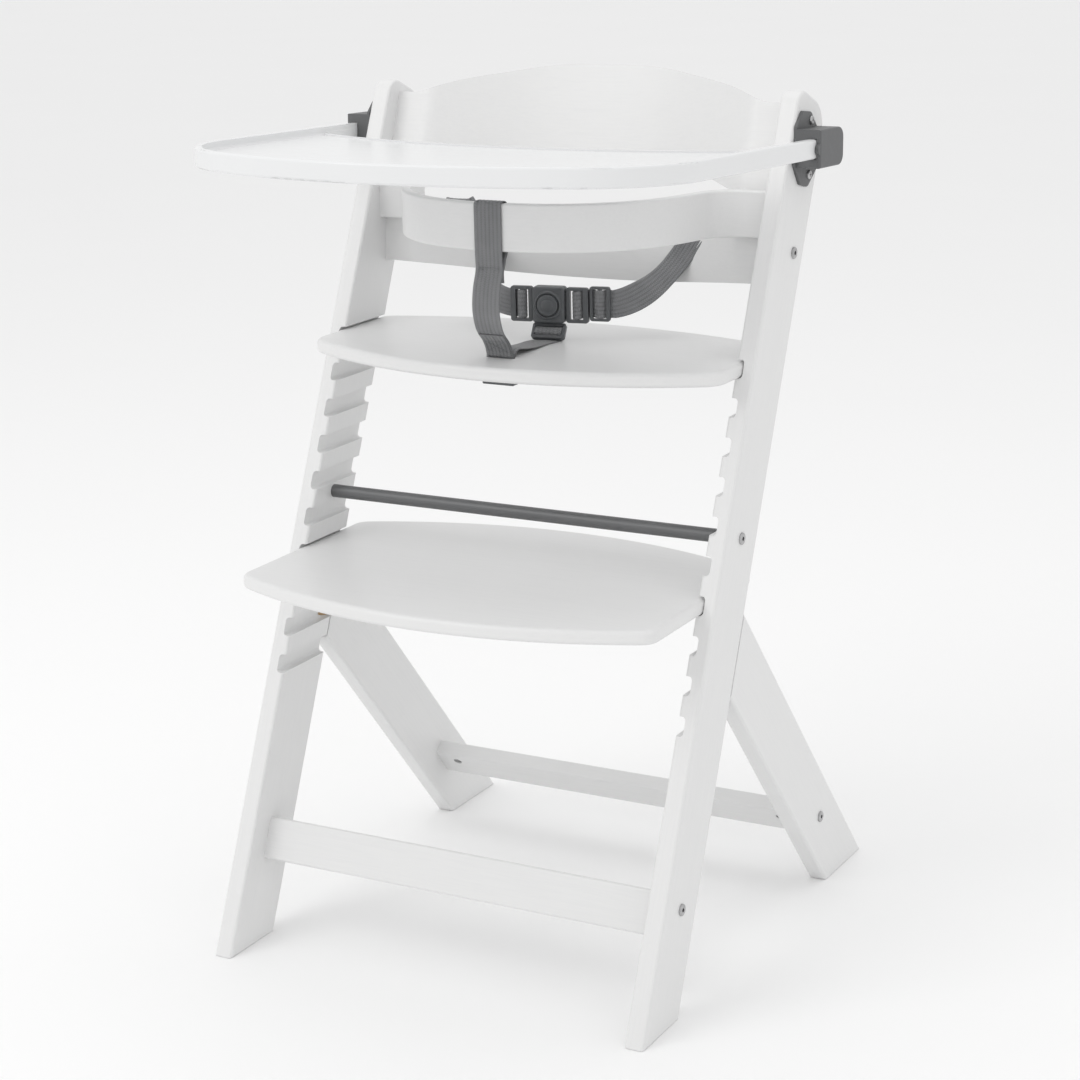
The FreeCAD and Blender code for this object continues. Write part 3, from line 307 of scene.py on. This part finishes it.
def dowelWood():
    look = Look("dowelWood")
    grain = look.noise(look.place(scale=(4, 90, 90)), 8.0, 5.0, 0.6, 0.6)
    look.set("Base Color", look.blend(grain, (0.60, 0.42, 0.24, 1), (0.36, 0.22, 0.11, 1)))
    look.set("Roughness", 0.55 + grain * 0.25)
    look.set("Normal", look.bump(grain, 0.4, 0.0001))
    return look.material


webbingFacts = {
    "yarn": (0.235, 0.238, 0.245, 1),
    # painted shade: the dark colour laid into the low parts of the weave, between ribs and yarns
    "valleyShade": (0.075, 0.077, 0.081, 1),
    # painted highlight laid on the yarn crests
    "crestHighlight": (0.37, 0.375, 0.38, 1),
    "ribs": 7,                  # herringbone columns across the width
    "picks": 13.0,               # yarns in each webbing width of length
}


def webbingFabric():
    # herringbone webbing: u runs across the band, v along it in band widths
    facts = webbingFacts
    look = Look("webbingFabric", Sheen_Weight=0.35, Sheen_Roughness=0.4)
    u, v = look.uv()
    column = u * facts["ribs"]
    fold = (column.sum("FRACT") - 0.5).size()
    odd = (column.sum("FLOOR") * math.pi).sum("COSINE")
    yarn = ((v * facts["picks"] + fold * odd * 1.6) * 2 * math.pi).wave() * 0.5 + 0.5
    rib = 1 - (fold * 2) ** 3.0
    fuzz = look.noise(look.place(), 2600.0, 4.0, 0.7)
    wearAndSheen = look.noise(look.place(), 70.0, 3.0, 0.5)
    height = rib * 0.45 + yarn * 0.45 + fuzz * 0.2
    # painted shade in the weave's hollows: where the height is low the colour goes to the dark valley colour
    shadedWeave = look.blend((height * 1.1).clamp(), facts["valleyShade"], facts["yarn"])
    # the tops of the yarns are made lighter in noise patches: partly worn yarn, partly painted highlight on
    # the crests
    look.set("Base Color", look.blend((wearAndSheen - 0.35).clamp() * yarn, shadedWeave, facts["crestHighlight"]))
    look.set("Roughness", 0.78 + (fuzz - 0.5) * 0.2)
    look.set("Normal", look.bump(height, 1.0, 0.00055))
    return look.material


def sewingThread():
    look = Look("sewingThread", Sheen_Weight=0.3)
    u, v = look.uv()
    ply = ((v * 26 + u * 2) * math.pi).wave()
    fuzz = look.noise(look.place(), 4000.0, 3.0, 0.6)
    look.set("Base Color", look.blend(fuzz, (0.12, 0.125, 0.135, 1), (0.26, 0.27, 0.28, 1)))
    look.set("Roughness", 0.7 + fuzz * 0.2)
    look.set("Normal", look.bump(ply + fuzz, 0.5, 0.0001))
    return look.material


def floorPaint(floor):
    look = Look("floorPaint", Specular_IOR_Level=0.1)
    cloud = look.noise(look.place(), 1.5, 3.0, 0.5)
    pale = roomFacts["floorColour"]
    look.set("Base Color", look.blend(cloud, pale, tuple(c * 0.985 for c in pale[:3]) + (1,)))
    look.set("Roughness", 0.85 + (cloud - 0.5) * 0.1)
    floor.data.materials.append(look.material)


# ---- small mesh tools ----
def newPiece(name, mesh, material, body, replaced=()):
    piece = bpy.data.objects.new(name, mesh)
    bpy.context.scene.collection.objects.link(piece)
    piece.data.materials.append(material)
    for face in mesh.polygons:
        face.use_smooth = True
    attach(piece, body)
    if replaced:
        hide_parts(*replaced)
    return piece


def smoothPath(points, spacing):
    # evenly spaced (place, how many given points it has passed) on a smooth curve through the points
    count, dense = len(points), []
    for k in range(count - 1):
        before, start, end = points[max(k - 1, 0)], points[k], points[k + 1]
        after = points[min(k + 2, count - 1)]
        for step in range(12):
            t = step / 12
            spot = (start * 2 + (end - before) * t + (before * 2 - start * 5 + end * 4 - after) * t * t
                    + (start * 3 - before - end * 3 + after) * t ** 3) * 0.5
            dense.append((spot, k + t))
    dense.append((points[-1].copy(), count - 1.0))
    legs = [(q[0] - p[0]).length for p, q in zip(dense, dense[1:])]
    total, walked, at = sum(legs), 0.0, 0
    steps = max(2, round(total / spacing))
    placed = [dense[0]]
    for k in range(1, steps):
        goal = total * k / steps
        while walked + legs[at] < goal:
            walked += legs[at]
            at += 1
        share = (goal - walked) / legs[at]
        placed.append((dense[at][0].lerp(dense[at + 1][0], share),
                       dense[at][1] + (dense[at + 1][1] - dense[at][1]) * share))
    placed.append(dense[-1])
    return placed


def webbingBand(name, stations, facts):
    # stations: (middle, direction across, direction out of the front face), evenly spaced
    width, thick = facts["width"], facts["thickness"]
    columns, ribDepth = facts["columns"], facts["ribDepth"]
    bm = bmesh.new()
    layer = bm.loops.layers.uv.new("webbing")
    rings, lengths, walked = [], [], 0.0
    for k, (middle, across, out) in enumerate(stations):
        if k:
            walked += (middle - stations[k - 1][0]).length
        lengths.append(walked / width)
        ring = []
        for side in (1, -1):
            for c in range(columns + 1):
                share = c / columns if side > 0 else 1 - c / columns
                edge = abs(share - 0.5) * 2
                body = thick / 2 * (1 - 0.55 * max(0.0, edge - 0.9) / 0.1)
                rib = ribDepth * abs(math.sin(share * math.pi * webbingFacts["ribs"]))
                ring.append((bm.verts.new(middle + across * ((share - 0.5) * width)
                                          + out * (side * (body + rib - ribDepth))), share))
        rings.append(ring)
    count = len(rings[0])
    for k in range(len(rings) - 1):
        for c in range(count):
            d = (c + 1) % count
            face = bm.faces.new((rings[k][c][0], rings[k][d][0], rings[k + 1][d][0], rings[k + 1][c][0]))
            marks = ((rings[k][c][1], lengths[k]), (rings[k][d][1], lengths[k]),
                     (rings[k + 1][d][1], lengths[k + 1]), (rings[k + 1][c][1], lengths[k + 1]))
            for loop, mark in zip(face.loops, marks):
                loop[layer].uv = mark
    for ring in (rings[0], rings[-1]):
        for c in range(columns):
            a, b = ring[c][0], ring[c + 1][0]
            other = 2 * columns + 1 - c
            bm.faces.new((a, b, ring[other - 1][0], ring[other][0]))
    bmesh.ops.recalc_face_normals(bm, faces=bm.faces)
    mesh = bpy.data.meshes.new(name)
    bm.to_mesh(mesh)
    bm.free()
    return mesh


def bandAlong(controls, facts):
    # stations of a band through controls of (place, direction across the band)
    path = smoothPath([place for place, across in controls], facts["spacing"])
    stations = []
    for k, (middle, passed) in enumerate(path):
        ahead = (path[min(k + 1, len(path) - 1)][0] - path[max(k - 1, 0)][0]).normalized()
        at = min(int(passed), len(controls) - 2)
        across = controls[at][1].lerp(controls[at + 1][1], passed - at)
        across = (across - ahead * across.dot(ahead)).normalized()
        stations.append((middle, across, across.cross(ahead).normalized()))
    return stations


def stitchRow(bm, layer, start, end, out, facts):
    # short thread stitches in a straight row, each an arched round cord
    row = end - start
    pitch, reach, radius = facts["pitch"], facts["reach"], facts["threadRadius"]
    count = max(1, int(row.length / pitch))
    ahead = row.normalized()
    side = out.cross(ahead).normalized()
    for k in range(count):
        first = start + ahead * (row.length / count * (k + 0.5) - reach / 2)
        rings = []
        for s in range(7):
            t = s / 6
            arch = radius * (1.7 * math.sin(math.pi * t) - 0.6)
            middle = first + ahead * (reach * t) + out * arch
            fat = radius * (0.35 + 0.65 * math.sin(math.pi * min(1, max(0, 0.1 + 0.8 * t))) ** 0.5)
            rings.append([bm.verts.new(middle + side * (fat * math.cos(a)) + out * (fat * math.sin(a)))
                          for a in (math.radians(60 * j) for j in range(6))])
        for a, b in zip(rings, rings[1:]):
            for j in range(6):
                face = bm.faces.new((a[j], a[(j + 1) % 6], b[(j + 1) % 6], b[j]))
                marks = ((j / 6, 0), ((j + 1) / 6, 0), ((j + 1) / 6, 1), (j / 6, 1))
                for loop, mark in zip(face.loops, marks):
                    loop[layer].uv = mark
        bm.faces.new(list(reversed(rings[0])))
        bm.faces.new(rings[-1])


def boxStitch(name, centre, across, along, out, size, facts):
    # a sewn square with its two diagonals
    bm = bmesh.new()
    layer = bm.loops.layers.uv.new("thread")
    w, h = size[0] / 2, size[1] / 2
    corner = {(a, b): centre + across * (a * w) + along * (b * h) for a in (-1, 1) for b in (-1, 1)}
    rows = [((-1, -1), (1, -1)), ((1, -1), (1, 1)), ((1, 1), (-1, 1)), ((-1, 1), (-1, -1)),
            ((-1, -1), (1, 1)), ((1, -1), (-1, 1))]
    for a, b in rows:
        stitchRow(bm, layer, corner[a], corner[b], out, facts)
    bmesh.ops.recalc_face_normals(bm, faces=bm.faces)
    mesh = bpy.data.meshes.new(name)
    bm.to_mesh(mesh)
    bm.free()
    return newPiece(name, mesh, thread, "frame")


# ---- the room ----
makeCamera(cameraFacts)
makeLamps(lampFacts)
floorPaint(makeRoom(roomFacts))
print("camera, lamps and floor made")

# ---- finishes for the CAD pieces ----
frontLean, rearLean = 23.5, 41.0      # degrees from upright
alongX = (0, 0, 0)
alongFront = (0, -math.radians(90 - frontLean), math.radians(90))
alongRear = (0, math.radians(90 - rearLean), math.radians(90))
boards = paintedWood("paintAlongX", alongX)
frontBoards = paintedWood("paintAlongFrontLegs", alongFront)
rearBoards = paintedWood("paintAlongRearLegs", alongRear)
bracketPlastic = mouldedPlastic("bracketPlastic", (0.105, 0.107, 0.11, 1), (0.16, 0.162, 0.165, 1), 0.48)
bucklePlastic = mouldedPlastic("bucklePlastic", (0.085, 0.09, 0.095, 1), (0.15, 0.155, 0.16, 1), 0.36,
                               2200.0, 0.00004)
buttonPlastic = mouldedPlastic("buttonPlastic", (0.62, 0.07, 0.09, 1), (0.68, 0.16, 0.17, 1), 0.32)
steel = zincSteel("zincSteel")
springSteel = zincSteel("springSteel", (0.42, 0.42, 0.43, 1), 0.28)
fabric = webbingFabric()
thread = sewingThread()

finishes = {
    boards: ("front_crossbar", "rear_crossbar", "seat_plate", "footrest_plate", "upper_back_panel",
             "lower_back_rail", "front_guard"),
    frontBoards: ("front_leg_right", "front_leg_left"),
    rearBoards: ("rear_leg_right", "rear_leg_left"),
    dowelWood(): ("leg_joint_dowels", "rail_dowels"),
    rodPaint(): ("steel_rod",),
    steel: ("crossbar_bolts", "back_rail_bolts", "rod_bolts", "crossbar_barrel_nuts",
            "back_rail_barrel_nuts", "bracket_screws", "strap_screws"),
    springSteel: ("latch_spring_right", "latch_spring_left", "buckle_spring"),
    trayPlastic(): ("tray",),
    bracketPlastic: ("tray_bracket_right", "tray_bracket_left", "latch_pawl_right", "latch_pawl_left"),
    buttonPlastic: ("release_button_right", "release_button_left"),
    bucklePlastic: ("buckle_front_shell", "buckle_back_shell", "buckle_button", "waist_tongue_right",
                    "waist_tongue_left", "crotch_tongue", "ladder_lock", "seat_strap_retainer"),
    fabric: ("guard_strap", "crotch_strap", "waist_strap_right", "waist_strap_left"),
}
for material, names in finishes.items():
    for name in names:
        slots = nodes[name].data.materials
        for k in range(len(slots)):
            slots[k] = material
        if not len(slots):
            slots.append(material)
print("finishes given to", sum(len(n) for n in finishes.values()), "CAD pieces")

# ---- harness webbing ----
bandFacts = {
    "width": 29.0 * mm,
    "thickness": 1.5 * mm,
    "columns": 42,
    "ribDepth": 0.22 * mm,
    "spacing": 2.0 * mm,
}
stitchFacts = {"pitch": 2.6 * mm, "reach": 2.1 * mm, "threadRadius": 0.28 * mm}
buckleFacts = {"centre": Vector((2, 47, 653)) * mm, "turn": math.radians(10), "width": 35.0,
               "tongue": 30.1, "lock": 54.1, "crotch": (-4.6, -27.4), "crotchTip": math.radians(-38)}
railFacts = {"corner": Vector((0, 98, 679)) * mm, "lean": math.radians(-6), "radius": 442.7, "depth": 45.25,
             "height": 66.0, "thickness": 12.0, "strapX": 146.0}

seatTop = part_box("seat_plate")[1].z
guardLow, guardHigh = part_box("front_guard")
retainerLow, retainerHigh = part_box("seat_strap_retainer")
slotY = (retainerLow.y + retainerHigh.y) / 2
sideways = Vector((1, 0, 0))
upwards = Vector((0, 0, 1))


def fromBuckle(x, y, z, direction=False):
    # a spot in millimetres in the buckle's own frame, x across, y to the back, z up
    turned = Matrix.Rotation(buckleFacts["turn"], 3, "Z") @ Vector((x, y, z))
    return turned if direction else buckleFacts["centre"] + turned * mm


def fromCrotchTongue(x, y, z):
    tipped = Matrix.Rotation(buckleFacts["crotchTip"], 3, "X") @ Vector((x, y, z))
    back, up = buckleFacts["crotch"]
    return fromBuckle(tipped.x, tipped.y + back, tipped.z + up)


def onRail(x, off, up):
    # a spot in front of the lower back rail's face (millimetres), and the directions out and along
    facts = railFacts
    angle = math.asin(x / facts["radius"])
    out = Vector((-math.sin(angle), -math.cos(angle), 0))
    along = Vector((math.cos(angle), -math.sin(angle), 0))
    depth = facts["depth"] - facts["radius"] * (1 - math.cos(angle))
    lean = Matrix.Rotation(facts["lean"], 3, "X")
    spot = facts["corner"] + lean @ (Vector((x, depth, up)) + out * off) * mm
    return spot, lean @ out, lean @ along


def guardStrap():
    # up through the seat, bulging forward, over the guard and back down to where it is sewn
    half = bandFacts["thickness"] / 2
    front = guardLow.y - half - 0.4 * mm
    back = guardLow.y + 10 * mm + half + 0.5 * mm
    top, low = guardHigh.z + half + 0.4 * mm, guardLow.z
    route = [(slotY - 0.8 * mm, seatTop - 21 * mm), (slotY - 0.9 * mm, seatTop - 8 * mm),
             (slotY - 2 * mm, seatTop + 5 * mm), (slotY - 8 * mm, seatTop + 17 * mm),
             (slotY - 21 * mm, seatTop + 31 * mm), (slotY - 27.5 * mm, seatTop + 51 * mm),
             (slotY - 25.5 * mm, seatTop + 72 * mm), (front + 0.6 * mm, low - 19 * mm),
             (front + 0.2 * mm, low - 6 * mm), (front, low + 8 * mm), (front, low + 28 * mm),
             (front, guardHigh.z - 6 * mm), (front + 0.4 * mm, guardHigh.z - 0.6 * mm),
             (front + 3 * mm, top), (back - 3 * mm, top), (back - 0.3 * mm, guardHigh.z - 0.6 * mm),
             (back, guardHigh.z - 7 * mm), (back, low + 26 * mm), (back, low + 6 * mm),
             (back - 1.0 * mm, low - 2 * mm), (front + 7 * mm, low - 9 * mm),
             (front + 2.9 * mm, low - 18 * mm), (front + 2.8 * mm, low - 31 * mm)]
    controls = [(Vector((0, y, z)), sideways) for y, z in route]
    wide = dict(bandFacts, width=31.0 * mm)
    mesh = webbingBand("guardStrap", bandAlong(controls, wide), wide)
    newPiece("guardStrap", mesh, fabric, "frame", ("guard_strap",))
    middle = Vector((0, front - half + 0.5 * mm, low - 22 * mm))
    boxStitch("guardStitch", middle, sideways, upwards, Vector((0, -1, 0)), (22 * mm, 12 * mm), stitchFacts)


def seatPatch():
    # doubled and sewn webbing where the guard strap comes out of the seat
    half = bandFacts["thickness"] / 2
    route = [(slotY - 2.6 * mm, seatTop + 1.0 * mm), (slotY - 4.4 * mm, seatTop + 8 * mm),
             (slotY - 10.4 * mm, seatTop + 17.6 * mm), (slotY - 19.0 * mm, seatTop + 26 * mm)]
    controls = [(Vector((0, y - half, z + half)), sideways) for y, z in route]
    mesh = webbingBand("seatPatch", bandAlong(controls, bandFacts), dict(bandFacts, width=28.4 * mm))
    newPiece("seatPatch", mesh, fabric, "frame")
    along = (controls[2][0] - controls[1][0]).normalized()
    out = sideways.cross(along).normalized()
    out = -out if out.y > 0 else out
    middle = (controls[1][0] + controls[2][0]) / 2 + out * (half + 0.1 * mm)
    boxStitch("seatStitch", middle, sideways, along, out, (22 * mm, 13 * mm), stitchFacts)


def crotchStrap():
    # out of the same slot, back over the seat and round the crotch tongue's middle bar
    route = [(slotY + 2.6 * mm, seatTop - 18 * mm), (slotY + 2.6 * mm, seatTop - 4 * mm),
             (slotY + 5 * mm, seatTop + 3.5 * mm), (slotY + 14 * mm, seatTop + 7 * mm),
             (slotY + 30 * mm, seatTop + 4.5 * mm), (slotY + 54 * mm, seatTop + 1.8 * mm),
             (slotY + 76 * mm, seatTop + 1.1 * mm)]
    controls = [(Vector((0, y, z)), sideways) for y, z in route]
    across = fromBuckle(1, 0, 0, True)
    weave = [(3.9, -8.4), (1.6, -4.8), (-2.2, -3.4), (-3.5, 0.0), (-1.6, 3.2), (1.8, 3.6), (3.7, 1.6),
             (4.2, -2.4)]
    controls += [(fromCrotchTongue(0, y, z), across) for y, z in weave]
    mesh = webbingBand("crotchStrap", bandAlong(controls, bandFacts), bandFacts)
    newPiece("crotchStrap", mesh, fabric, "frame", ("crotch_strap",))


def waistStrap(side):
    # woven through the tongue, and on +X through the adjuster, then up and over the back rail
    name = "Right" if side > 0 else "Left"
    tongue = buckleFacts["tongue"]
    weave = [(tongue + 4, 4.3), (tongue - 1, 3.9), (tongue - 4.6, 1.6), (tongue - 4.2, -1.6),
             (tongue - 0.5, -3.5), (tongue + 3.2, -1.8), (tongue + 5.0, 1.6), (tongue + 9, 3.6)]
    if side > 0:
        lock = buckleFacts["lock"]
        weave += [(lock - 9.5, 4.0), (lock - 5.2, 1.6), (lock - 3.4, -0.6), (lock, -2.1), (lock + 3.4, -0.6),
                  (lock + 5.2, 2.0), (lock + 9.5, 4.2), (lock + 15, 4.0)]
    else:
        weave += [(tongue + 15, 3.4)]
    lift = 2.0 if side > 0 else 0.5
    controls = []
    for x, y in weave:
        rise = lift * min(1, max(0, (x - tongue) / 14))
        controls.append((fromBuckle(side * x, y, rise), upwards))

    facts = railFacts
    clearance = 1.0      # the rail's face is hollow, so the band's edges come nearer than its middle
    half = bandFacts["thickness"] / 2 / mm + clearance
    top, thick, x = facts["height"], facts["thickness"], facts["strapX"]
    behind = -thick - half - 0.3
    wrap = [(x - 27, half, top - 38), (x - 13, half, top - 19), (x - 1, half, top - 2),
            (x + 1, -2.0, top + half), (x + 3, 2 - thick, top + half), (x + 4.6, behind, top - 2),
            (x + 6, behind, top - 14), (x + 9, behind, top - 42)]
    laid = []
    for far, off, up in wrap:
        spot, out, along = onRail(side * far, off, up)
        laid.append((spot, along * -1))
    start, end = controls[-1][0], laid[0][0]
    ahead = (fromBuckle(side, 0, 0, True) + upwards * 0.20).normalized()
    rise = (laid[1][0] - laid[0][0]).normalized()
    reach = (end - start).length
    bowed = []
    faceStart = fromBuckle(0, -1, 0, True)
    faceEnd = onRail(side * x, 0, top)[1]
    for k in range(1, 9):
        t = k / 9
        spot = (start * ((1 - t) ** 2 * (1 + 2 * t)) + ahead * (t * (1 - t) ** 2 * reach)
                + end * (t * t * (3 - 2 * t)) + rise * (t * t * (t - 1) * reach))
        slope = ((end - start) * (6 * t * (1 - t)) + ahead * ((1 - t) * (1 - 3 * t) * reach)
                 + rise * (t * (3 * t - 2) * reach))
        across = slope.cross(faceStart.lerp(faceEnd, t)).normalized()
        bowed.append((spot, across if across.z > 0 else -across))
    straight = bowed[-1][1]
    laid = [(spot, straight if k < 2 else along * (1 if along.dot(straight) > 0 else -1))
            for k, (spot, along) in enumerate(laid)]
    controls += bowed + laid
    mesh = webbingBand("waistStrap" + name, bandAlong(controls, bandFacts), bandFacts)
    newPiece("waistStrap" + name, mesh, fabric, "frame",
             ("waist_strap_right" if side > 0 else "waist_strap_left",))


# ---- buckle trim ----
trimFacts = {
    "turns": 96,
    "collar": [(12.3, -6.3), (12.3, -7.5), (12.7, -8.1), (13.5, -8.3), (14.3, -8.1), (14.8, -7.4),
               (15.4, -6.7), (15.6, -6.3)],          # radius and depth in the buckle's frame
    "dome": [(7.4, -8.6), (7.2, -9.3), (6.4, -9.9), (4.6, -10.4), (2.4, -10.7), (0.6, -10.8)],
}


def turnedPiece(name, outline, body, closed):
    # an outline of (radius, depth) spun round the press button's axis
    turns = trimFacts["turns"]
    bm = bmesh.new()
    rings = []
    for radius, depth in outline:
        rings.append([bm.verts.new(fromBuckle(radius * math.cos(a), depth, radius * math.sin(a)))
                      for a in (math.tau * k / turns for k in range(turns))])
    loops = list(zip(rings, rings[1:] + rings[:1])) if closed else list(zip(rings, rings[1:]))
    for here, there in loops:
        for k in range(turns):
            after = (k + 1) % turns
            bm.faces.new((here[k], here[after], there[after], there[k]))
    if not closed:
        bm.faces.new(rings[0])
        bm.faces.new(rings[-1])
    bmesh.ops.recalc_face_normals(bm, faces=bm.faces)
    mesh = bpy.data.meshes.new(name)
    bm.to_mesh(mesh)
    bm.free()
    return newPiece(name, mesh, bucklePlastic, body)


turnedPiece("buttonCollar", trimFacts["collar"], "frame", True)
turnedPiece("buttonDome", trimFacts["dome"], "buckle_press", False)
print("buckle trim made")

guardStrap()
seatPatch()
crotchStrap()
waistStrap(1)
waistStrap(-1)
print("harness webbing made")
